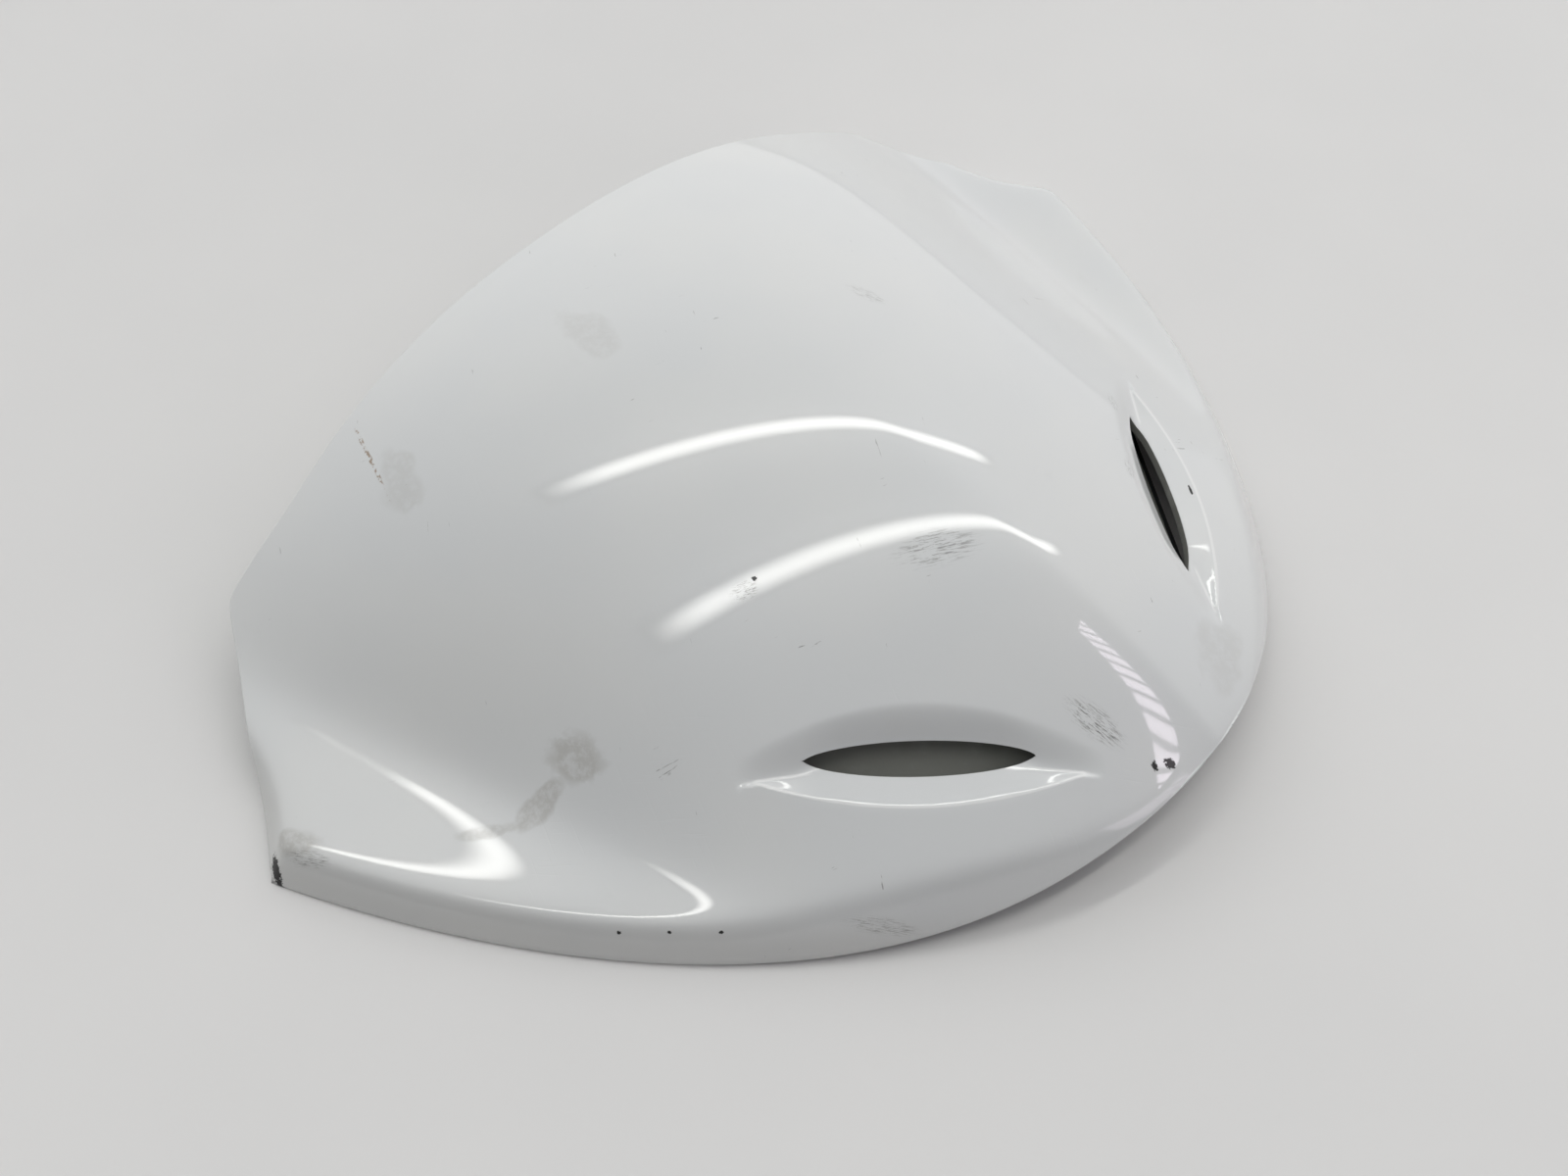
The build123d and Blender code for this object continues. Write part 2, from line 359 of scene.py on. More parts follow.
# The right rear corner, which the shell stands on: dirt, and paint gone from its edge
CORNER_WEAR = (
    Mark(Wear.SMEAR, -0.35, -0.95, 6.0, 3.0, 30, 0.80),
    Mark(Wear.SCUFF, -0.30, -0.95, 6.0, 2.0, 30, 0.90),
    Mark(Wear.CHIP, -0.36, -0.99, 3.0, 1.0, -32),
    Mark(Wear.RUB, -0.40, -0.78, 18.0, 12.0, 0, 1.0),
)

# The nose, which meets things first
NOSE_WEAR = (
    Mark(Wear.CHIP, 0.96, -0.08, 1.2, 0.9, 30),
    Mark(Wear.CHIP, 0.94, -0.10, 0.9, 0.6, -30),
    Mark(Wear.SCUFF, 0.80, -0.12, 8.0, 3.5, 10, 1.0),
    Mark(Wear.SMEAR, 0.90, 0.12, 10.0, 6.0, -70, 0.28),
    Mark(Wear.SCUFF, 0.70, -0.50, 9.0, 1.4, 38, 0.80),
)

# Knocks on the crown and along its left side
CROWN_WEAR = (
    Mark(Wear.SMEAR, -0.60, -0.15, 11.0, 5.0, -12, 0.28),
    Mark(Wear.SCUFF, 0.35, -0.10, 11.0, 4.5, 55, 0.70),
    Mark(Wear.SCUFF, 0.10, -0.32, 3.5, 2.4, 55, 0.75),
    Mark(Wear.CHIP, 0.10, -0.30, 0.6, 0.4, 20),
    Mark(Wear.SCUFF, -0.20, 0.20, 6.0, 2.4, 15, 0.50),
    Mark(Wear.SCUFF, 0.50, 0.28, 4.0, 1.5, -45, 0.60),
    Mark(Wear.SCUFF, 0.35, 0.40, 4.0, 1.6, -45, 0.55),
    Mark(Wear.CHIP, 0.62, 0.36, 1.6, 0.3, -42),
)

# Small chips in a row along the right flange
FLANGE_CHIPS = tuple(
    Mark(Wear.CHIP, 0.30 + 0.08 * step, -0.74 + 0.045 * step, 0.45, 0.25, 40) for step in range(3)
)

MARKS = THUMB_SMEAR + REAR_CRACK + CORNER_WEAR + NOSE_WEAR + CROWN_WEAR + FLANGE_CHIPS


# ---------------------------------------------------------------------------
# Finishes
# ---------------------------------------------------------------------------


class Finish:
    """A finish that makes its own material."""

    def make(self, name: str) -> bpy.types.Material:
        """Builds the material.

        Args:
            name: The material's name.

        Returns:
            The material.
        """
        material = bpy.data.materials.new(name)
        tree = Tree(material)
        self.paint(tree, tree.place())
        return material

    def paint(self, tree: Tree, place: Field) -> None:
        """Adds the finish's nodes.

        Args:
            tree: The material's tree.
            place: Object coordinates.
        """
        raise NotImplementedError


@dataclass(frozen=True)
class GlossPaint(Finish):
    """White gloss paint over a black core, with grease, scuffs, chips, fine scratches, a painted highlight
    on the recess folds and painted shade low on the right flange.
    """

    colour: Colour = (0.665, 0.672, 0.668)
    cool: Colour = (0.625, 0.640, 0.650)
    # Grease colour of the smears, also used for the painted shade low on the right flange
    grease: Colour = (0.33, 0.315, 0.285)
    scuff: Colour = (0.105, 0.100, 0.095)
    core: Colour = (0.012, 0.011, 0.011)
    rust: Colour = (0.22, 0.125, 0.045)
    # Painted highlight: paler colour along the recess folds, standing in for the light that those folds
    # catch
    lip: Colour = (0.86, 0.86, 0.85)
    ior: float = 1.5
    coat_roughness: float = 0.034
    lip_end: float = 32.0
    lip_fade: float = 0.6
    valley_line_start: float = 20.0
    valley_line_full: float = 22.0

    def paint(self, tree: Tree, place: Field) -> None:
        """Adds the nodes of the paint."""
        masks = {
            kind: highest(self._mark(tree, place, mark) for mark in MARKS if mark.kind is kind)
            for kind in Wear
        }
        edge = self._edge_wear(tree, place)
        fine = self._fine_scratches(tree, place)
        haze = tree.noise(place, 14.0, 3.0, 0.6)
        cloud = tree.noise(place, 22.0, 2.0).ramp(0.3, 0.7)
        grime = tree.noise(place, 95.0, 5.0, 0.7).ramp(0.62, 0.80)
        chips = masks[Wear.CHIP].most(edge)
        lip = self._painted_lip_highlight(tree, place)

        colour = tree.mix(cloud * 0.6, self.colour, self.cool)
        colour = tree.mix(grime * haze * 0.10, colour, self.grease)
        colour = tree.mix(masks[Wear.SMEAR] * 0.62, colour, self.grease)
        colour = tree.mix(masks[Wear.SCUFF] * 0.85, colour, self.scuff)
        colour = tree.mix(masks[Wear.CRACK] * 0.80, colour, self.rust)
        colour = tree.mix(self._nicks(tree, place) * 0.70, colour, self.scuff)
        # Painted shade: darker colour low on the right flange, towards the rim
        colour = tree.mix(self._painted_rim_shade(tree, place), colour, self.grease)
        # Painted highlight: paler colour along the recess folds
        colour = tree.mix(lip * 0.5, colour, self.lip)
        colour = tree.mix(chips, colour, self.core)

        dull = (masks[Wear.SMEAR] * 0.7).most(masks[Wear.SCUFF]).most(chips)
        roughness = (0.26 + haze * 0.10 + fine * 0.18 + dull * 0.30).clamp()
        coat = (1.0 - dull.most(masks[Wear.RUB]) * 0.85) - fine * 0.25
        relief = fine * -0.25 - chips * 1.0
        tree.finish(
            Base_Color=colour,
            Roughness=roughness,
            IOR=self.ior,
            Coat_Weight=coat.clamp(),
            Coat_Roughness=self.coat_roughness,
            Coat_IOR=self.ior,
            Normal=tree.bump(relief, 0.08 * MM, 0.6),
        )

    @staticmethod
    def _fine_scratches(tree: Tree, place: Field) -> Field:
        """Fine rubbing scratches, in two directions."""
        ways = []
        for turn, scale in ((38.0, 1.0), (-24.0, 1.3)):
            lines = tree.mapped(place, turn=turn, size=(9.0 * scale, 0.45 * scale, 9.0))
            ways.append(tree.noise(lines, 900.0, 2.0, 0.6).ramp(0.60, 0.72))
        return highest(ways) * tree.noise(place, 34.0, 3.0, 0.6).ramp(0.45, 0.75)

    @staticmethod
    def _nicks(tree: Tree, place: Field) -> Field:
        """Short dark nicks, scattered thinly and in patches."""
        ways = []
        for turn in (62.0, -35.0):
            lines = tree.mapped(place, turn=turn, size=(4.0, 0.5, 4.0))
            ways.append(tree.noise(lines, 520.0, 3.0, 0.7).ramp(0.70, 0.74))
        return highest(ways) * tree.noise(place, 48.0, 2.0, 0.5).ramp(0.54, 0.66)

    @staticmethod
    def _painted_rim_shade(tree: Tree, place: Field) -> Field:
        """Painted shade: darker colour low on the flange of the right side, towards the rim, where shade
        falls.
        """
        _, side, height = tree.split(place)
        return height.ramp(0.011, 0.003, 0.0, 0.30) * side.ramp(-0.030, -0.080)

    @staticmethod
    def _edge_wear(tree: Tree, place: Field) -> Field:
        """Paint rubbed off the shell's edges, from the edge attribute of its mesh."""
        near = tree.node("ShaderNodeAttribute", {"attribute_name": "edge"}, output="Fac")
        patch = tree.noise(place, 160.0, 4.0, 0.7)
        side = tree.split(place)[1]
        far_side = side.ramp(0.060, 0.120, -0.10, 0.14)
        return (near * (patch + far_side).ramp(0.66, 0.70)).clamp()

    def _painted_lip_highlight(self, tree: Tree, place: Field) -> Field:
        """Painted highlight: paler colour along the folds that bound each recess's floor, where those folds
        catch the light.
        """
        surface = Surface()
        x, y, z = tree.split(place)
        folded = tree.node("ShaderNodeCombineXYZ", values={0: x, 1: y.math("ABSOLUTE"), 2: z})
        middle = (surface.vent_x * MM, surface.vent_y * MM, 0.0)
        plan = tree.mapped(folded, middle, surface.vent_turn, (MM, MM, MM))
        along, across, _ = tree.split(plan)
        along = along.math("ABSOLUTE")
        share = along / surface.recess_floor_half_length
        outer = across - (1.0 - share * share) * surface.recess_floor_reach
        past = along - surface.slot_half_length
        inner = across - surface.valley_offset - past * surface.valley_spread
        before_tip = along.ramp(self.lip_end + self.lip_fade, self.lip_end - self.lip_fade)
        past_slot = along.ramp(self.valley_line_start, self.valley_line_full)
        near_outer = outer.math("ABSOLUTE").ramp(0.50, 0.18) * before_tip
        near_inner = inner.math("ABSOLUTE").ramp(0.45, 0.15) * before_tip * past_slot
        return near_outer.most(near_inner)

    @staticmethod
    def _mark(tree: Tree, place: Field, mark: Mark) -> Field:
        """Mask of one mark.

        Args:
            tree: The material's tree.
            place: Object coordinates.
            mark: The mark.

        Returns:
            A mask from 0 to 1.
        """
        size = (mark.half_length * MM, mark.half_width * MM, 1.0)
        local = tree.mapped(place, mark.middle(), mark.turn, size)
        reach = tree.length(local)
        if mark.kind is Wear.SMEAR:
            grain = tree.noise(place, 420.0, 4.0, 0.7)
            drift = tree.noise(place, 130.0, 2.0, 0.5)
            body = (reach + (drift - 0.5) * 1.3 + (grain - 0.5) * 0.7).ramp(1.02, 0.66)
            return body * grain.ramp(0.32, 0.60, 0.35, 1.0) * mark.strength
        if mark.kind is Wear.SCUFF:
            streaks = tree.mapped(local, size=(1.0, 0.22, 1.0))
            grain = tree.noise(streaks, 2.6, 4.0, 0.75)
            return grain.ramp(0.50, 0.60) * reach.ramp(1.0, 0.35) * mark.strength
        if mark.kind is Wear.CHIP:
            ragged = (tree.noise(place, 1700.0, 4.0, 0.75) - 0.5) * 2.4
            return (reach + ragged).ramp(1.0, 0.86) * mark.strength
        if mark.kind is Wear.CRACK:
            dots = tree.noise(place, 900.0, 2.0, 0.6).ramp(0.46, 0.58)
            wander = (tree.noise(place, 260.0, 2.0) - 0.5) * 1.6
            return (reach + wander).ramp(1.0, 0.55) * dots * mark.strength
        return reach.ramp(1.0, 0.3) * mark.strength


@dataclass(frozen=True)
class CoreLaminate(Finish):
    """Bare black inner face of the moulding, with a faint fibre weave."""

    colour: Colour = (0.020, 0.021, 0.019)
    worn: Colour = (0.045, 0.044, 0.040)
    thread: float = 1.1 * MM

    def paint(self, tree: Tree, place: Field) -> None:
        """Adds the nodes of the bare core."""
        wave = {"wave_type": "BANDS", "bands_direction": "X", "wave_profile": "SIN"}
        threads = []
        for turn in (0.0, 90.0):
            strip = tree.mapped(place, turn=turn, size=(self.thread,) * 3)
            values = {"Vector": strip, "Scale": 0.16, "Distortion": 0.6, "Detail": 1.0}
            threads.append(tree.node("ShaderNodeTexWave", wave, values, "Fac"))
        weave = highest(threads)
        rubbed = tree.noise(place, 60.0, 5.0, 0.65)
        tree.finish(
            Base_Color=tree.mix(rubbed.ramp(0.45, 0.75), self.colour, self.worn),
            Roughness=0.42 + rubbed * 0.3,
            IOR=1.5,
            Normal=tree.bump(weave + rubbed * 0.4, 0.10 * MM, 0.5),
        )


@dataclass(frozen=True)
class Plastic(Finish):
    """Moulded plastic with a spark-eroded grain and light rubbing."""

    colour: Colour
    rubbed: Colour
    roughness: float = 0.5
    grain: float = 2400.0
    relief: float = 0.04 * MM

    def paint(self, tree: Tree, place: Field) -> None:
        """Adds the nodes of the plastic."""
        grain = tree.noise(place, self.grain, 3.0, 0.6)
        wear = tree.noise(place, 120.0, 4.0, 0.65).ramp(0.48, 0.74)
        dust = tree.noise(place, 520.0, 4.0, 0.7).ramp(0.60, 0.78)
        colour = tree.mix(wear * 0.6 + dust * 0.25, self.colour, self.rubbed)
        tree.finish(
            Base_Color=colour,
            Roughness=(self.roughness + grain * 0.14 - wear * 0.10).clamp(),
            IOR=1.48,
            Normal=tree.bump(grain, self.relief, 0.6),
        )


@dataclass(frozen=True)
class Metal(Finish):
    """Machined or rolled metal with fine marks in one direction."""

    colour: Colour
    tarnish: Colour
    roughness: float = 0.32
    grain_turn: float = 0.0

    def paint(self, tree: Tree, place: Field) -> None:
        """Adds the nodes of the metal."""
        lines = tree.mapped(place, turn=self.grain_turn, size=(12.0, 0.6, 0.6))
        grain = tree.noise(lines, 2200.0, 3.0, 0.6)
        spots = tree.noise(place, 340.0, 4.0, 0.7).ramp(0.50, 0.72)
        tree.finish(
            Base_Color=tree.mix(spots * 0.7, self.colour, self.tarnish),
            Metallic=1.0 - spots * 0.15,
            Roughness=(self.roughness + grain * 0.16 + spots * 0.18).clamp(),
            Normal=tree.bump(grain, 0.02 * MM, 0.5),
        )


@dataclass(frozen=True)
class BeadFoam(Finish):
    """Moulded bead foam: fused beads a few millimetres across, with dark joints."""

    colour: Colour = (0.048, 0.049, 0.053)
    joint: Colour = (0.018, 0.018, 0.020)
    pale: Colour = (0.070, 0.071, 0.076)
    bead: float = 3.2 * MM

    def paint(self, tree: Tree, place: Field) -> None:
        """Adds the nodes of the foam."""
        warp = tree.noise(place, 600.0, 2.0)
        settings = {"feature": "DISTANCE_TO_EDGE"}
        cells = tree.node(
            "ShaderNodeTexVoronoi", settings, {"Vector": place, "Scale": 1.0 / self.bead}, "Distance"
        )
        crease = (cells + (warp - 0.5) * 0.05).ramp(0.01, 0.11)
        tone = tree.noise(place, 140.0, 3.0, 0.6).ramp(0.35, 0.7)
        face = tree.mix(tone * 0.7, self.colour, self.pale)
        tree.finish(
            Base_Color=tree.mix(crease, self.joint, face),
            Roughness=0.86 - crease * 0.16 + warp * 0.08,
            IOR=1.4,
            Normal=tree.bump(crease + warp * 0.15, 0.35 * MM, 0.8),
        )


# ---------------------------------------------------------------------------
# The shell's surface
# ---------------------------------------------------------------------------


def smooth_max(a: float, b: float, rounding: float) -> float:
    """The larger of a and b, with the crossing rounded."""
    return (a + b + math.sqrt((a - b) ** 2 + rounding**2)) / 2


def smooth_min(a: float, b: float, rounding: float) -> float:
    """The smaller of a and b, with the crossing rounded."""
    return (a + b - math.sqrt((a - b) ** 2 + rounding**2)) / 2


def ease(share: float) -> float:
    """Smooth step of a share, held between 0 and 1."""
    share = min(max(share, 0.0), 1.0)
    return share * share * (3 - 2 * share)


@dataclass(frozen=True)
class Surface:
    """Outer surface of the shell as a height over the plane that the brim stands on."""

    rim_centre_x: float = -206.0
    rim_length: float = 301.0
    rim_breadth: float = 170.0
    corner_y: float = 139.3
    rear_middle_x: float = -93.6
    rear_shoulder_x: float = -85.0
    rear_shoulder_y: float = 85.0
    rear_notch_x: float = -84.5
    rear_notch_y: float = 107.0
    shoulder_rounding: float = 1.0
    notch_rounding: float = 2.5
    crown_height: float = 52.0
    crown_x: float = -27.0
    crown_radius: float = 235.0
    foot_breadth: float = 118.0
    rear_foot_gain: float = 0.05
    rear_span: float = 80.0
    foot_length: float = 364.0
    fullness: float = 1.98
    fullness_loss: float = 0.0095
    rear_fullness_loss: float = 0.0045
    fullness_rounding: float = 40.0
    brim_height: float = 8.2
    brim_fall: float = 0.012
    valley_rounding: float = 5.0
    rear_valley_rounding: float = 6.0
    rear_valley_start: float = 15.0
    rear_valley_span: float = 65.0
    flange_slope: float = 1.6
    flange_rounding: float = 2.5
    edge_height: float = 1.2
    nose_lift: float = 18.0
    nose_spread: float = 50.0
    rest_trim: float = 0.5
    skirt_slope: float = 1.6
    skirt_start: float = 8.0
    skirt_rise: float = 0.018
    skirt_rounding: float = 2.4
    wall: float = 2.0
    vent_x: float = 53.0
    vent_y: float = 43.5
    vent_turn: float = -42.3
    slot_half_length: float = 22.4
    slot_half_width: float = 3.3
    slot_bluntness: float = 0.60
    recess_half_length: float = 35.5
    recess_taper: float = 1.7
    recess_wall_reach: float = 8.0
    recess_floor_reach: float = 9.5
    recess_floor_half_length: float = 41.0
    recess_depth: float = 4.0
    valley_offset: float = 2.5
    valley_spread: float = 0.10
    valley_onset: float = 8.0
    valley_run: float = 10.0
    narrowest_floor: float = 0.8
    valley_softness: float = 0.22
    lip_softness: float = 0.06

    @property
    def half_turn(self) -> float:
        """Half the angle that the rim's ellipse covers."""
        return math.asin(self.corner_y / self.rim_breadth)

    @property
    def corner_x(self) -> float:
        """Where the rim meets the rear edge."""
        return self.rim_centre_x + self.rim_length * math.cos(self.half_turn)

    def rim_inset(self, x: float, y: float) -> float:
        """Distance inwards from the rim, seen from above."""
        u = (x - self.rim_centre_x) / self.rim_length
        v = y / self.rim_breadth
        size = math.hypot(u, v)
        return (1 - size) * size / math.hypot(u / self.rim_length, v / self.rim_breadth)

    def nose_rise(self, y: float) -> float:
        """How far the rim lifts on its way round the nose."""
        return self.nose_lift * math.exp(-((y / self.nose_spread) ** 2))

    def rest_level(self, y: float) -> float:
        """Height of the rim's underside."""
        return max(self.nose_rise(y) - self.rest_trim, 0.0)

    def brim_level(self, x: float) -> float:
        """Height of the brim's valley."""
        return self.brim_height - self.brim_fall * x

    def crown(self, x: float, y: float) -> float:
        """Height of the crown before the brim is blended in."""
        drop = math.sqrt(self.crown_radius**2 - (x - self.crown_x) ** 2)
        crest = self.crown_height - self.crown_radius + drop
        foot = self.foot_breadth * math.sqrt(1 - ((x - self.rim_centre_x) / self.foot_length) ** 2)
        foot *= 1 + self.rear_foot_gain * ease(-x / self.rear_span)
        front = smooth_max(x, 0.0, self.fullness_rounding)
        power = self.fullness - self.rear_fullness_loss * x
        power -= (self.fullness_loss - self.rear_fullness_loss) * front
        return crest - (crest - self.brim_level(x)) * (abs(y) / foot) ** power

    def skirt(self, x: float, y: float) -> float:
        """Height of the turned-down skirt along the rear edge of the brim."""
        reach_x = self.corner_x - self.rear_notch_x
        reach_y = self.corner_y - self.rear_notch_y
        reach = math.hypot(reach_x, reach_y)
        off_x = x - self.corner_x
        off_y = abs(y) - self.corner_y
        along = -(off_x * reach_x + off_y * reach_y) / reach
        inward = (off_x * reach_y - off_y * reach_x) / reach
        rise = self.skirt_rise * max(along - self.skirt_start, 0) ** 2
        return self.edge_height + rise + self.skirt_slope * inward

    def vent_plan(self, x: float, y: float) -> tuple[float, float]:
        """Distances along and across the vent, seen from above."""
        turn = math.radians(self.vent_turn)
        off_x = x - self.vent_x
        off_y = abs(y) - self.vent_y
        along = off_x * math.cos(turn) + off_y * math.sin(turn)
        across = off_y * math.cos(turn) - off_x * math.sin(turn)
        return along, across

    def floor_reach(self, along: float) -> float:
        """How far the recess's floor runs outboard of the slot's middle line."""
        return self.recess_floor_reach * (1 - (along / self.recess_floor_half_length) ** 2)

    def valley_reach(self, along: float) -> float:
        """How far outboard the recess's deepest line runs."""
        past = abs(along) - self.slot_half_length
        offset = self.valley_offset * ease((past + self.valley_onset) / self.valley_run)
        return offset + self.valley_spread * max(past, 0.0)

    def recess(self, x: float, y: float) -> float:
        """Depth of the recess: a steep wall inboard of the slot, a gentle floor outboard."""
        along, across = self.vent_plan(x, y)
        share = abs(along) / self.recess_half_length
        if share >= 1:
            return 0.0
        valley = self.valley_reach(along)
        width = max(self.floor_reach(along) - valley, self.narrowest_floor)
        floor = smooth_max(1 - (across - valley) / width, 0.0, self.lip_softness)
        reach = self.recess_wall_reach * (1 - share**2)
        wall = ease((across + reach) / (valley + reach))
        depth = self.recess_depth * (1 - share**self.recess_taper)
        return depth * smooth_min(floor, wall, self.valley_softness * wall)

    def skin(self, x: float, y: float) -> float:
        """Height of the outer surface as if it had no vents."""
        rearwards = ease((-self.rear_valley_start - x) / self.rear_valley_span)
        softer = rearwards * (self.rear_valley_rounding - self.valley_rounding)
        top = smooth_max(self.crown(x, y), self.brim_level(x), self.valley_rounding + softer)
        flange = self.nose_rise(y) + self.edge_height + self.flange_slope * self.rim_inset(x, y)
        brim = smooth_min(flange, top, self.flange_rounding)
        return smooth_min(self.skirt(x, y), brim, self.skirt_rounding)

    def height(self, x: float, y: float) -> float:
        """Height of the outer surface."""
        return self.skin(x, y) - self.recess(x, y)

    def slopes(
        self, x: float, y: float, of: Optional[Callable[[float, float], float]] = None
    ) -> tuple[float, float]:
        """Slopes along X and Y of the outer surface, or of another height."""
        step = 0.35
        of = of or self.height
        along_x = (of(x + step, y) - of(x - step, y)) / (2 * step)
        along_y = (of(x, y + step) - of(x, y - step)) / (2 * step)
        return along_x, along_y

    def normal(self, x: float, y: float) -> Vector:
        """Outward normal of the outer surface."""
        slope_x, slope_y = self.slopes(x, y)
        return Vector((-slope_x, -slope_y, 1.0)).normalized()

    def inner(self, x: float, y: float, depth: Optional[float] = None) -> float:
        """Height of the surface that lies a given depth, or one wall, behind the outer one."""
        slope_x, slope_y = self.slopes(x, y)
        depth = self.wall if depth is None else depth
        return self.height(x, y) - depth * math.sqrt(1 + slope_x**2 + slope_y**2)

    def vent_axes(self, side: Side) -> tuple[Vector, Vector, Vector, Vector]:
        """Origin, along, across and outward axes of a vent's plane."""
        slope_x, slope_y = self.slopes(self.vent_x, self.vent_y, self.skin)
        outward = Vector((-slope_x, -slope_y, 1.0)).normalized()
        turn = math.radians(self.vent_turn)
        level = Vector((math.cos(turn), math.sin(turn), 0.0))
        along = (level - outward * level.dot(outward)).normalized()
        across = outward.cross(along)
        middle = self.skin(self.vent_x, self.vent_y) - self.recess_depth
        origin = Vector((self.vent_x, self.vent_y, middle))
        flip = Vector((1.0, side.value, 1.0))
        return origin * flip, along * flip, across * flip, outward * flip

    def rear_edge(self, y: float) -> float:
        """X of the rear edge at a distance from the middle, with the notch rounded."""
        y = abs(y)
        rise = self.rear_shoulder_x - self.rear_middle_x
        reach = (self.rear_shoulder_y**2 + rise**2) / (2 * rise)
        arch = self.rear_middle_x + reach - math.sqrt(reach**2 - y**2)
        past = (y - self.rear_shoulder_y) / (self.rear_notch_y - self.rear_shoulder_y)
        step = self.rear_shoulder_x + past * (self.rear_notch_x - self.rear_shoulder_x)
        share = (y - self.rear_notch_y) / (self.corner_y - self.rear_notch_y)
        side = self.rear_notch_x + share * (self.corner_x - self.rear_notch_x)
        shoulder = smooth_min(arch, step, self.shoulder_rounding)
        return smooth_max(shoulder, side, self.notch_rounding)


# ---------------------------------------------------------------------------
# Meshes
# ---------------------------------------------------------------------------


def to_object(bm: bmesh.types.BMesh, name: str, materials: Iterable[bpy.types.Material]) -> bpy.types.Object:
    """Turns a mesh drawn in millimetres into a smooth-shaded object in metres.

    Args:
        bm: The mesh, which is freed.
        name: The object's name.
        materials: Its materials, in the order of the faces' material numbers.

    Returns:
        The object, with its place in its mesh.
    """
    bmesh.ops.scale(bm, vec=(MM, MM, MM), verts=bm.verts)
    for face in bm.faces:
        face.smooth = True
    data = bpy.data.meshes.new(name)
    bm.to_mesh(data)
    bm.free()
    for material in materials:
        data.materials.append(material)
    made = bpy.data.objects.new(name, data)
    bpy.context.scene.collection.objects.link(made)
    return made


def border(faces: Iterable[bmesh.types.BMFace]) -> list[bmesh.types.BMEdge]:
    """Edges that only one of the faces touches."""
    count: dict[bmesh.types.BMEdge, int] = {}
    for face in faces:
        for edge in face.edges:
            count[edge] = count.get(edge, 0) + 1
    return [edge for edge, times in count.items() if times == 1]


def snap(
    bm: bmesh.types.BMesh, side: Callable[[Vector], float], near: Callable[[Vector], bool]
) -> None:
    """Moves the vertices nearest to a curve onto it, and joins them by edges along it.

    Args:
        bm: The flat mesh.
        side: Negative on one side of the curve and positive on the other.
        near: Whether a point is near enough to look at.
    """
    exact = 1e-4
    crossings = []
    for edge in bm.edges:
        first, second = edge.verts
        if not (near(first.co) and near(second.co)):
            continue
        if side(first.co) * side(second.co) >= 0:
            continue
        share = crossing(first.co, second.co, side)
        crossings.append((min(share, 1 - share), edge.index, edge))
    crossings.sort(key=lambda entry: entry[:2])
    snapped: dict[bmesh.types.BMVert, bool] = {}
    for _, _, edge in crossings:
        first, second = edge.verts
        ends = side(first.co), side(second.co)
        if abs(ends[0]) < exact or abs(ends[1]) < exact or ends[0] * ends[1] > 0:
            continue
        share = crossing(first.co, second.co, side)
        moved = first if share < 0.5 else second
        moved.co = first.co.lerp(second.co, share)
        snapped[moved] = True
    bmesh.ops.connect_verts(bm, verts=list(snapped))


def crossing(first: Vector, second: Vector, side: Callable[[Vector], float]) -> float:
    """Share of the way between two points at which a curve is crossed."""
    low, high = 0.0, 1.0
    low_side = side(first)
    for _ in range(26):
        middle = (low + high) / 2
        if side(first.lerp(second, middle)) * low_side > 0:
            low = middle
        else:
            high = middle
    return (low + high) / 2


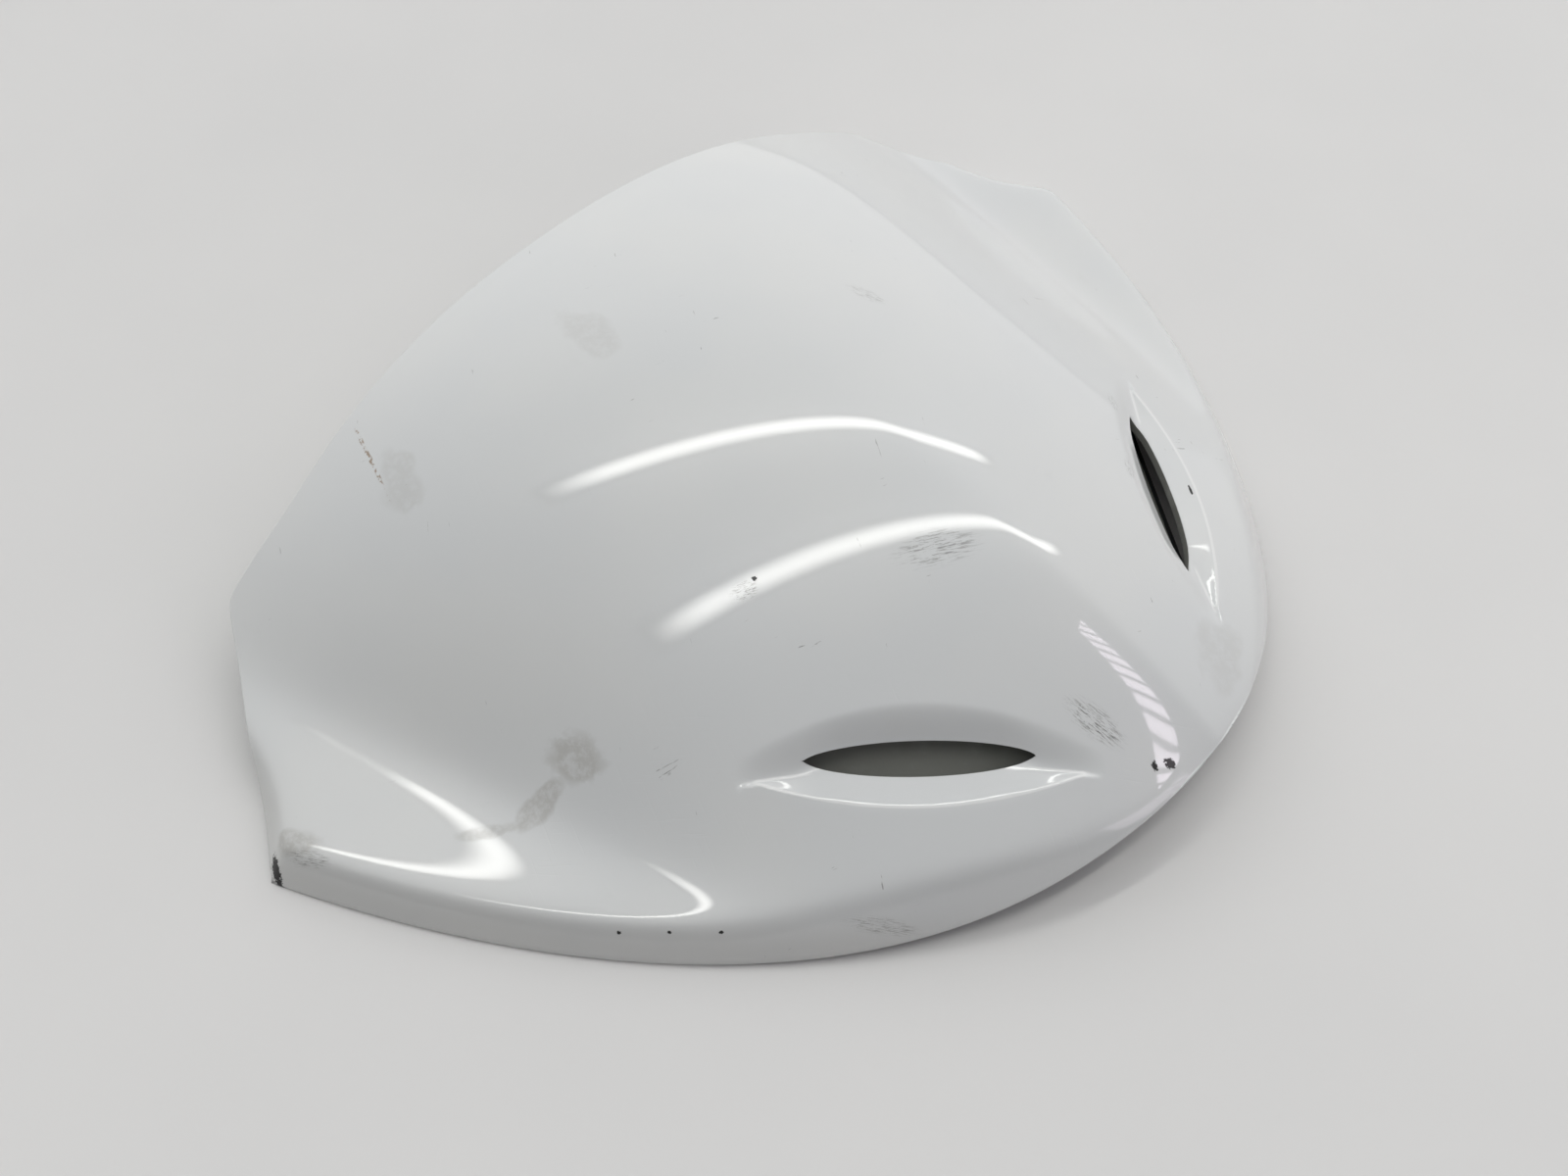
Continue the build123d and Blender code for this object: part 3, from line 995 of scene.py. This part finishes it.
@dataclass
class Shell:
    """The painted moulding, with rounded edges, recesses and slots."""

    surface: Surface
    cells_along: int = 164
    cells_across: int = 226
    end_bias: float = 0.42
    edge_round: float = 0.5
    slot_round: float = 0.35
    roll_steps: int = 3
    lean_reach: float = 12.0
    vent_margin: float = 1.8
    lip_end: float = 32.0
    lip_start_across: float = 0.8
    valley_end: float = 31.0
    valley_side: float = 5.0
    valley_clearance: float = 1.2
    slot_zone_along: float = 3.0
    slot_zone_across: float = 8.0
    cut_zone_along: float = 2.0
    cut_zone_across: float = 3.0
    edge_closeness: float = 0.45
    paint_material: int = 0
    core_material: int = 1
    slot_material: int = 2
    materials: list[bpy.types.Material] = field(default_factory=list)

    def build(self) -> bpy.types.Object:
        """Builds the shell.

        Returns:
            The object, which stands for the frame's outer shell.
        """
        bm = bmesh.new()
        self._lay_out(bm)
        self._refine_vents(bm)
        for side in Side:
            self._follow_recess(bm, side)
            self._cut_slot(bm, side)
        for vertex in bm.verts:
            vertex.co.z = self.surface.height(vertex.co.x, vertex.co.y)
        sheet = list(bm.faces)
        for face in sheet:
            face.material_index = self.paint_material
        self._thicken(bm, sheet)
        return self._finish(bm)

    def _lay_out(self, bm: bmesh.types.BMesh) -> None:
        """Spreads a grid over the shell's outline, closer together near its edges."""
        surface = self.surface
        bmesh.ops.create_grid(bm, x_segments=self.cells_along, y_segments=self.cells_across, size=1.0)
        for vertex in bm.verts:
            share = (vertex.co.x + 1) / 2
            eased = (1 - math.cos(math.pi * share)) / 2
            share += self.end_bias * (eased - share)
            angle = vertex.co.y * surface.half_turn
            y = (surface.rim_breadth - self.edge_round) * math.sin(angle)
            front = surface.rim_centre_x + (surface.rim_length - self.edge_round) * math.cos(angle)
            rear = min(surface.rear_edge(y) + self.edge_round, front)
            vertex.co = Vector((rear + share * (front - rear), y, 0.0))
        bmesh.ops.remove_doubles(bm, verts=bm.verts, dist=0.001)

    def _refine_vents(self, bm: bmesh.types.BMesh) -> None:
        """Halves the cells in and around each recess."""
        surface = self.surface
        chosen = set()
        for face in bm.faces:
            middle = face.calc_center_median()
            along, across = surface.vent_plan(middle.x, middle.y)
            if abs(along) > surface.recess_half_length + self.vent_margin:
                continue
            taper = max(1 - (along / surface.recess_floor_half_length) ** 2, 0.0)
            outboard = surface.recess_floor_reach * taper + self.vent_margin
            inboard = surface.recess_wall_reach * taper + self.vent_margin
            if -inboard < across < outboard:
                chosen.update(face.edges)
        bmesh.ops.subdivide_edges(bm, edges=list(chosen), cuts=1, use_grid_fill=True)

    def _follow_recess(self, bm: bmesh.types.BMesh, side: Side) -> None:
        """Lines edges up with the crease round the recess's floor and along its valley."""
        surface = self.surface

        def lip(point: Vector) -> float:
            """Distance past the floor's outboard fold."""
            along, across = surface.vent_plan(point.x, point.y)
            return across - surface.floor_reach(along)

        def near_lip(point: Vector) -> bool:
            """Whether a point is beside that fold, on this side."""
            along, across = surface.vent_plan(point.x, point.y)
            inside = across > self.lip_start_across and abs(along) < self.lip_end
            return point.y * side.value > 0 and inside

        def valley(point: Vector) -> float:
            """Distance past the recess's deepest line."""
            along, across = surface.vent_plan(point.x, point.y)
            return across - surface.valley_reach(along)

        def near_valley(point: Vector) -> bool:
            """Whether a point is beside that line, between the slot and the recess's tip."""
            along, across = surface.vent_plan(point.x, point.y)
            inside = surface.slot_half_length + self.valley_clearance < abs(along) < self.valley_end
            return point.y * side.value > 0 and 0 < across < self.valley_side and inside

        snap(bm, lip, near_lip)
        snap(bm, valley, near_valley)

    def _in_vent(self, side: Side) -> Callable[[Vector], tuple[float, float]]:
        """Function from a plan point to its place along and across the vent's plane."""
        origin, along, across, _ = self.surface.vent_axes(side)

        def place(point: Vector) -> tuple[float, float]:
            """Place of a plan point along and across the vent."""
            raised = Vector((point.x, point.y, self.surface.height(point.x, point.y))) - origin
            return raised.dot(along), raised.dot(across)

        return place

    def _cut_slot(self, bm: bmesh.types.BMesh, side: Side) -> None:
        """Opens one slot, a rounding wider than its wall."""
        surface = self.surface
        place = self._in_vent(side)
        length = surface.slot_half_length + self.slot_round
        width = surface.slot_half_width + self.slot_round

        def slot(point: Vector) -> float:
            """Negative inside the slot and positive outside it."""
            along, across = place(point)
            return (abs(across) / width) ** (1 / surface.slot_bluntness) + (along / length) ** 2 - 1

        def near(point: Vector) -> bool:
            """Whether a point is in or beside the slot, on this side."""
            along, across = surface.vent_plan(point.x, point.y)
            inside = abs(along) < length + self.cut_zone_along and abs(across) < width + self.cut_zone_across
            return point.y * side.value > 0 and inside

        snap(bm, slot, near)
        gone = [
            face
            for face in bm.faces
            if near(face.calc_center_median()) and slot(face.calc_center_median()) < 0
        ]
        bmesh.ops.delete(bm, geom=gone, context="FACES")

    def _thicken(self, bm: bmesh.types.BMesh, sheet: list[bmesh.types.BMFace]) -> None:
        """Adds the inner face and the rounded edges between the two.

        Args:
            bm: The mesh, which holds only the outer sheet.
            sheet: The outer sheet's faces.
        """
        edge_layer = bm.verts.layers.float.new("edge")
        rims = border(sheet)
        for edge in rims:
            for vertex in edge.verts:
                vertex[edge_layer] = self.edge_closeness
        copied = bmesh.ops.duplicate(bm, geom=bm.verts[:] + bm.edges[:] + bm.faces[:])["geom"]
        inner_faces = [item for item in copied if isinstance(item, bmesh.types.BMFace)]
        inner_verts = [item for item in copied if isinstance(item, bmesh.types.BMVert)]
        self._sink(inner_verts)
        for vertex in inner_verts:
            vertex[edge_layer] = 0.0
        for face in inner_faces:
            face.material_index = self.core_material
        bmesh.ops.reverse_faces(bm, faces=inner_faces)
        inner_rims = border(inner_faces)
        regions = [(self._on_slot(side), True) for side in Side] + [(self._on_outline, False)]
        for region, is_slot in regions:
            outer_loop = [edge for edge in rims if region(edge)]
            inner_loop = [edge for edge in inner_rims if region(edge)]
            last = self._roll(bm, outer_loop, is_slot, edge_layer)
            walls = bmesh.ops.bridge_loops(bm, edges=last + inner_loop)["faces"]
            for face in walls:
                face.material_index = self.slot_material if is_slot else self.paint_material
            for edge in inner_loop:
                edge.smooth = False

    def _on_outline(self, edge: bmesh.types.BMEdge) -> bool:
        """Whether an edge lies on the shell's outline."""
        return not any(self._on_slot(side)(edge) for side in Side)

    def _on_slot(self, side: Side) -> Callable[[bmesh.types.BMEdge], bool]:
        """Test for an edge that lies on one slot."""
        surface = self.surface

        def test(edge: bmesh.types.BMEdge) -> bool:
            """Whether the edge starts in the slot's zone."""
            point = edge.verts[0].co
            along, across = surface.vent_plan(point.x, point.y)
            inside = abs(along) < surface.slot_half_length + self.slot_zone_along
            inside = inside and abs(across) < self.slot_zone_across
            return point.y * side.value > 0 and inside

        return test

    def _sink(self, verts: list[bmesh.types.BMVert]) -> None:
        """Moves the inner face's vertices one wall behind the outer ones, square to each slot."""
        surface = self.surface
        for vertex in verts:
            x, y = vertex.co.x, vertex.co.y
            side = Side.LEFT if y > 0 else Side.RIGHT
            along, across = surface.vent_plan(x, y)
            past_end = max(abs(along) - surface.slot_half_length, 0.0)
            past_side = max(abs(across) - surface.slot_half_width, 0.0)
            lean = 1 - ease(math.hypot(past_end, past_side) / self.lean_reach)
            if lean > 0:
                outward = surface.vent_axes(side)[3]
                x -= outward.x * surface.wall * lean
                y -= outward.y * surface.wall * lean
            low = surface.rest_level(y)
            vertex.co = Vector((x, y, max(surface.inner(x, y), low)))

    def _roll(
        self,
        bm: bmesh.types.BMesh,
        loop: list[bmesh.types.BMEdge],
        is_slot: bool,
        edge_layer: bmesh.types.BMLayerItem,
    ) -> list[bmesh.types.BMEdge]:
        """Extrudes a border of the outer sheet round a small radius.

        Args:
            bm: The mesh.
            loop: The border's edges.
            is_slot: Whether it is a slot's border, which turns square to the surface.
            edge_layer: Where each vertex's closeness to an edge is kept.

        Returns:
            The edges that the roll ends in.
        """
        radius = self.slot_round if is_slot else self.edge_round
        starts: dict[bmesh.types.BMVert, tuple[Vector, Vector, Vector]] = {}
        for vertex in {vertex for edge in loop for vertex in edge.verts}:
            starts[vertex] = self._frame_at(vertex, loop, is_slot)
        edges = loop
        for step in range(1, self.roll_steps + 1):
            angle = math.pi / 2 * step / self.roll_steps
            made = bmesh.ops.extrude_edge_only(bm, edges=edges)["geom"]
            fresh = {item for item in made if isinstance(item, bmesh.types.BMVert)}
            edges = [item for item in made if isinstance(item, bmesh.types.BMEdge)]
            edges = [edge for edge in edges if edge.verts[0] in fresh and edge.verts[1] in fresh]
            following = {}
            for vertex in fresh:
                source = next(
                    edge.other_vert(vertex)
                    for edge in vertex.link_edges
                    if edge.other_vert(vertex) in starts
                )
                start, away, up = starts[source]
                vertex.co = start + away * (radius * math.sin(angle)) - up * (radius * (1 - math.cos(angle)))
                vertex.co.z = max(vertex.co.z, self.surface.rest_level(vertex.co.y))
                vertex[edge_layer] = 0.0 if is_slot else 1.0
                following[vertex] = starts[source]
            starts = following
            for item in made:
                if isinstance(item, bmesh.types.BMFace):
                    item.material_index = self.paint_material
        return edges

    def _frame_at(
        self, vertex: bmesh.types.BMVert, loop: list[bmesh.types.BMEdge], is_slot: bool
    ) -> tuple[Vector, Vector, Vector]:
        """Start, outward direction and upward direction of the roll at a border vertex.

        Args:
            vertex: The vertex.
            loop: The border's edges; not used.
            is_slot: Whether the roll turns square to the surface, and not plumb.

        Returns:
            Its place, the way that the roll leaves the sheet, and the side it turns from.
        """
        surface = self.surface
        beside = [edge for edge in vertex.link_edges if len(edge.link_faces) == 1]
        ends = [edge.other_vert(vertex).co for edge in beside]
        tangent = (ends[0] - ends[-1]).normalized()
        inside = sum((face.calc_center_median() for face in vertex.link_faces), Vector())
        inside = inside / len(vertex.link_faces) - vertex.co
        place = vertex.co.copy()
        if is_slot:
            up = surface.normal(place.x, place.y)
            away = tangent.cross(up).normalized()
            return place, away if away.dot(inside) < 0 else -away, up
        level = Vector((tangent.x, tangent.y, 0.0)).cross(Vector((0, 0, 1))).normalized()
        level = level if level.dot(inside) < 0 else -level
        slope_x, slope_y = surface.slopes(place.x, place.y)
        level.z = slope_x * level.x + slope_y * level.y
        return place, level, Vector((0, 0, 1))

    def _finish(self, bm: bmesh.types.BMesh) -> bpy.types.Object:
        """Makes the object, with its outer face shaded by the surface's own normals."""
        bm.normal_update()
        bm.faces.ensure_lookup_table()
        made = to_object(bm, "painted_shell", self.materials)
        data = made.data
        outer = {face.index for face in data.polygons if face.material_index == self.paint_material}
        edge = data.attributes["edge"].data
        normals = [Vector((0, 0, 0))] * len(data.loops)
        known: dict[int, Vector] = {}
        for polygon in data.polygons:
            if polygon.index not in outer:
                continue
            if any(edge[index].value > 0.9 for index in polygon.vertices):
                continue
            for loop_index in polygon.loop_indices:
                index = data.loops[loop_index].vertex_index
                if index not in known:
                    co = data.vertices[index].co / MM
                    known[index] = self.surface.normal(co.x, co.y)
                normals[loop_index] = known[index]
        data.normals_split_custom_set(normals)
        log.info("painted_shell: %d faces", len(data.polygons))
        return made


@dataclass
class Liner:
    """The foam pad under the crown, with rounded edges and grooves."""

    surface: Surface
    middle_x: float = -29.0
    half_length: float = 55.0
    half_width: float = 62.0
    gap: float = 0.3
    thickness: float = 10.0
    groove_width: float = 8.0
    groove_depth: float = 4.0
    groove_pitch: float = 26.0
    groove_round: float = 1.6
    corner: float = 3.2
    top_corner: float = 1.2
    cells: int = 84
    materials: list[bpy.types.Material] = field(default_factory=list)

    def build(self) -> bpy.types.Object:
        """Builds the pad.

        Returns:
            The object, which stands for the frame's plain pad.
        """
        bm = bmesh.new()
        bmesh.ops.create_grid(bm, x_segments=self.cells, y_segments=self.cells, size=1.0)
        for vertex in bm.verts:
            p, q = vertex.co.x, vertex.co.y
            u = p * math.sqrt(1 - q * q / 2)
            v = q * math.sqrt(1 - p * p / 2)
            vertex.co = Vector((self.middle_x + u * self.half_length, v * self.half_width, 0.0))
        top_faces = list(bm.faces)
        copied = bmesh.ops.duplicate(bm, geom=bm.verts[:] + bm.edges[:] + bm.faces[:])["geom"]
        low_faces = [item for item in copied if isinstance(item, bmesh.types.BMFace)]
        low_verts = {item for item in copied if isinstance(item, bmesh.types.BMVert)}
        for vertex in bm.verts:
            x, y = vertex.co.x, vertex.co.y
            depth = self._low_depth(x, y) if vertex in low_verts else self._top_depth(x, y)
            vertex.co.z = self.surface.inner(x, y, depth)
        bmesh.ops.reverse_faces(bm, faces=low_faces)
        bmesh.ops.bridge_loops(bm, edges=border(top_faces) + border(low_faces))
        bmesh.ops.recalc_face_normals(bm, faces=bm.faces)
        made = to_object(bm, "foam_liner", self.materials)
        log.info("foam_liner: %d faces", len(made.data.polygons))
        return made

    def _from_edge(self, x: float, y: float) -> float:
        """Distance inwards from the pad's outline."""
        share = math.hypot((x - self.middle_x) / self.half_length, y / self.half_width)
        return max((1 - share) * min(self.half_length, self.half_width), 0.0)

    def _rounded(self, x: float, y: float, radius: float) -> float:
        """How far a corner of that radius has fallen away at a point."""
        left = max(1 - self._from_edge(x, y) / radius, 0.0)
        return radius * (1 - math.sqrt(max(1 - left * left, 0.0)))

    def _top_depth(self, x: float, y: float) -> float:
        """Depth of the pad's upper face behind the shell's outer surface."""
        return self.surface.wall + self.gap + self._rounded(x, y, self.top_corner)

    def _low_depth(self, x: float, y: float) -> float:
        """Depth of the pad's lower face behind the shell's outer surface."""
        depth = self.surface.wall + self.gap + self.thickness - self._rounded(x, y, self.corner)
        groove = 0.0
        for middle in (-self.groove_pitch, 0.0, self.groove_pitch):
            inside = self.groove_width / 2 + self.groove_round / 2 - abs(y - middle)
            groove = max(groove, self.groove_depth * ease(inside / self.groove_round))
        return depth - groove


# ---------------------------------------------------------------------------
# Carried-over pieces
# ---------------------------------------------------------------------------


@dataclass(frozen=True)
class Hardware:
    """Finishes of the pieces under the shell that keep their own shape."""

    boss: Plastic = Plastic((0.022, 0.023, 0.024), (0.060, 0.060, 0.058), 0.52)
    frame: Plastic = Plastic((0.028, 0.030, 0.031), (0.075, 0.075, 0.072), 0.46)
    shutter: Plastic = Plastic((0.245, 0.250, 0.225), (0.305, 0.310, 0.280), 0.55)
    tab: Plastic = Plastic((0.040, 0.042, 0.043), (0.095, 0.095, 0.092), 0.42)
    brass: Metal = Metal((0.72, 0.51, 0.23), (0.34, 0.22, 0.10), 0.30, 30.0)
    mesh_steel: Metal = Metal((0.56, 0.56, 0.55), (0.24, 0.23, 0.21), 0.36, -42.0)
    screw_steel: Metal = Metal((0.60, 0.60, 0.60), (0.28, 0.27, 0.26), 0.28, 12.0)

    def dress(self, nodes: dict[str, bpy.types.Object]) -> None:
        """Gives every carried-over piece its finish.

        Args:
            nodes: The frame's pieces by name.
        """
        finishes = {
            "mount_boss": self.boss.make("bonded_boss"),
            "vent_bosses": self.boss.make("vent_boss"),
            "threaded_insert": self.brass.make("turned_brass"),
            "vent_frame": self.frame.make("moulded_frame"),
            "ember_screen": self.mesh_steel.make("punched_steel"),
            "vent_shutter": self.shutter.make("shutter_blade"),
            "shutter_tab": self.tab.make("tab_knob"),
            "frame_screws": self.screw_steel.make("screw_steel"),
        }
        for name, node in sorted(nodes.items()):
            for start, material in finishes.items():
                if name.startswith(start):
                    for slot in node.material_slots:
                        slot.material = material
                    log.info("%s: %s", name, material.name)


# ---------------------------------------------------------------------------
# Studio
# ---------------------------------------------------------------------------


def glow_panel(name: str, corners: Sequence[Vector], paint: Callable[[Tree], Field], hue: Colour) -> None:
    """Hangs a glowing four-cornered panel that only lights and mirrors show.

    Args:
        name: The panel's name.
        corners: Its corners, in order.
        paint: Makes its brightness.
        hue: Its colour.
    """
    bm = bmesh.new()
    bm.faces.new([bm.verts.new(corner) for corner in corners])
    data = bpy.data.meshes.new(name)
    bm.to_mesh(data)
    bm.free()
    material = bpy.data.materials.new(name)
    tree = Tree(material)
    values = {"Color": (*hue, 1.0), "Strength": paint(tree)}
    tree.close("ShaderNodeOutputMaterial", tree.node("ShaderNodeEmission", values=values))
    data.materials.append(material)
    panel = bpy.data.objects.new(name, data)
    bpy.context.scene.collection.objects.link(panel)
    panel.visible_camera = False


@dataclass(frozen=True)
class CeilingTube:
    """A long ceiling lamp, brightest along its middle."""

    name: str
    start: tuple[float, float]
    end: tuple[float, float]
    glow: float
    half_width: float = 0.085
    height: float = 1.9
    hue: Colour = (1.0, 1.0, 0.965)

    def build(self) -> None:
        """Hangs the lamp."""
        start, end = Vector((*self.start, self.height)), Vector((*self.end, self.height))
        reach = end - start
        side = Vector((-reach.y, reach.x, 0.0)).normalized() * self.half_width
        middle = (start + end) / 2
        turn = math.degrees(math.atan2(reach.y, reach.x))

        def brightness(tree: Tree) -> Field:
            """Brightest along the middle, and fading at both ends."""
            size = (reach.length / 2, self.half_width, 1.0)
            along, across, _ = tree.split(tree.mapped(tree.place(), middle, turn, size))
            fall = (1.0 - across * across).clamp() ** 2.0
            ends = (along * along).ramp(1.0, 0.55)
            return fall * ends * self.glow

        glow_panel(self.name, (start - side, end - side, end + side, start + side), brightness, self.hue)


@dataclass(frozen=True)
class BlindWindow:
    """A window with upright blinds that hang a little askew."""

    name: str
    across: tuple[float, float]
    height: tuple[float, float]
    glow: float
    azimuth: float = 19.0
    distance: float = 3.0
    slat: float = 0.125
    lean: float = 0.26
    skew: float = 0.0
    shade: float = 0.10
    hue: Colour = (1.0, 0.90, 1.0)

    def build(self) -> None:
        """Hangs the window."""
        turn = math.radians(self.azimuth)
        ahead = Vector((math.cos(turn), math.sin(turn), 0.0)) * self.distance
        left = Vector((-math.sin(turn), math.cos(turn), 0.0))
        rise = Vector((0.0, 0.0, 1.0))
        low, high = self.height
        near, far = self.across
        drift = self.skew * (high - low)
        plan = ((near, low), (near + drift, high), (far + drift, high), (far, low))
        corners = [ahead + left * across + rise * height for across, height in plan]

        def brightness(tree: Tree) -> Field:
            """Bright gaps between dim, leaning slats."""
            x, y, z = tree.split(tree.place())
            over = y * math.cos(turn) - x * math.sin(turn) + z * self.lean
            wave = (over * (2 * math.pi / self.slat)).math("SINE")
            return wave.ramp(-0.75, -0.25, self.shade, 1.0) * self.glow

        glow_panel(self.name, corners, brightness, self.hue)


@dataclass(frozen=True)
class Studio:
    """Floor, soft room light, two ceiling lamps, a window with blinds, and the camera."""

    floor_half: float = 6.0
    floor_height: float = -0.0002
    floor_colour: Colour = (0.720, 0.712, 0.706)
    floor_cloud: Colour = (0.690, 0.684, 0.680)
    far_azimuth: float = 138.0
    far_wall: float = 0.96
    near_wall: float = 0.05
    zenith: float = 0.59
    wall_hue: Colour = (1.0, 1.0, 1.0)
    zenith_hue: Colour = (0.965, 1.0, 1.02)
    backdrop: float = 0.80
    camera_at: Colour = (0.1074, -0.1467, 0.2422)
    camera_heading: float = 130.68
    camera_tilt: float = 55.03
    lens: float = 29.27
    tubes: tuple[CeilingTube, ...] = (
        CeilingTube("ceiling_lamp_far", (-0.99, -0.76), (0.20, 2.55), 11.0),
        CeilingTube("ceiling_lamp_near", (-0.20, -1.37), (0.91, 2.47), 11.0),
    )
    windows: tuple[BlindWindow, ...] = (
        BlindWindow("window_upper", (-0.27, 0.0), (2.05, 4.3), 7.0, skew=0.27),
        BlindWindow("window_lower", (-1.20, -0.05), (0.70, 1.75), 2.6),
    )

    def build(self) -> None:
        """Builds everything round the object."""
        self._floor()
        self._room()
        for light in (*self.tubes, *self.windows):
            light.build()
        self._camera()
        bpy.context.scene.view_settings.view_transform = "Standard"

    def _floor(self) -> None:
        """Lays the plain pale floor."""
        bm = bmesh.new()
        bmesh.ops.create_grid(bm, x_segments=1, y_segments=1, size=self.floor_half)
        bmesh.ops.translate(bm, verts=bm.verts, vec=(0.0, 0.0, self.floor_height))
        data = bpy.data.meshes.new("floor")
        bm.to_mesh(data)
        bm.free()
        material = bpy.data.materials.new("floor")
        tree = Tree(material)
        place = tree.place()
        cloud = tree.noise(place, 5.0, 3.0, 0.6).ramp(0.3, 0.7)
        speck = tree.noise(place, 900.0, 3.0, 0.6)
        tree.finish(
            Base_Color=tree.mix(cloud, self.floor_colour, self.floor_cloud),
            Roughness=0.50 + speck * 0.14,
            Normal=tree.bump(speck, 0.05 * MM, 0.25),
        )
        data.materials.append(material)
        floor = bpy.data.objects.new("floor", data)
        bpy.context.scene.collection.objects.link(floor)

    def _room(self) -> None:
        """Room light: bright walls on the far side, dim ones on the near side, a plain ceiling."""
        world = bpy.data.worlds.new("room")
        bpy.context.scene.world = world
        tree = Tree(world)
        x, y, z = tree.split(tree.node("ShaderNodeTexCoord", output="Generated"))
        turn = math.radians(self.far_azimuth)
        level = (1.0 - z * z).most(0.0001).math("SQRT")
        facing = (x * math.cos(turn) + y * math.sin(turn)) / level
        wall = facing.ramp(-0.75, 0.45, self.near_wall, self.far_wall)
        low = z.ramp(0.52, 0.96, 1.0, 0.0)
        glow = self.zenith + (wall - self.zenith) * low
        hue = tree.mix(low, self.zenith_hue, self.wall_hue)
        seen = tree.node("ShaderNodeLightPath", output="Is Camera Ray")
        glow = glow * (1.0 - seen) + seen * self.backdrop
        room = tree.node("ShaderNodeBackground", values={"Color": hue, "Strength": glow})
        tree.close("ShaderNodeOutputWorld", room)

    def _camera(self) -> None:
        """Sets the camera."""
        data = bpy.data.cameras.new("camera")
        data.lens = self.lens
        data.sensor_width = 36.0
        data.clip_start = 0.01
        camera = bpy.data.objects.new("camera", data)
        bpy.context.scene.collection.objects.link(camera)
        heading, tilt = math.radians(self.camera_heading), math.radians(self.camera_tilt)
        right = Vector((math.sin(heading), -math.cos(heading), 0.0))
        ahead = Vector((-right.y, right.x, 0.0)) * math.cos(tilt) - Vector((0.0, 0.0, math.sin(tilt)))
        up = right.cross(ahead)
        turn = Matrix((right, up, -ahead)).transposed().to_4x4()
        camera.matrix_world = Matrix.Translation(Vector(self.camera_at)) @ turn
        bpy.context.scene.camera = camera


def main() -> None:
    """Builds the finished pieces, dresses the carried-over ones and sets the scene."""
    logging.basicConfig(level=logging.INFO, format="%(message)s")
    surface = Surface()
    paint = GlossPaint().make("white_gloss_paint")
    core = CoreLaminate().make("bare_black_core")
    overspray = Plastic((0.20, 0.20, 0.185), (0.34, 0.34, 0.32), 0.6).make("slot_overspray")
    shell = Shell(surface, materials=[paint, core, overspray]).build()
    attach(shell, "shell")
    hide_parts("outer_shell")
    liner = Liner(surface, materials=[BeadFoam().make("bead_foam")]).build()
    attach(liner, "shell")
    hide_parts("impact_liner")
    Hardware().dress(frame["nodes"])
    Studio().build()


if __name__ == "__main__":
    main()
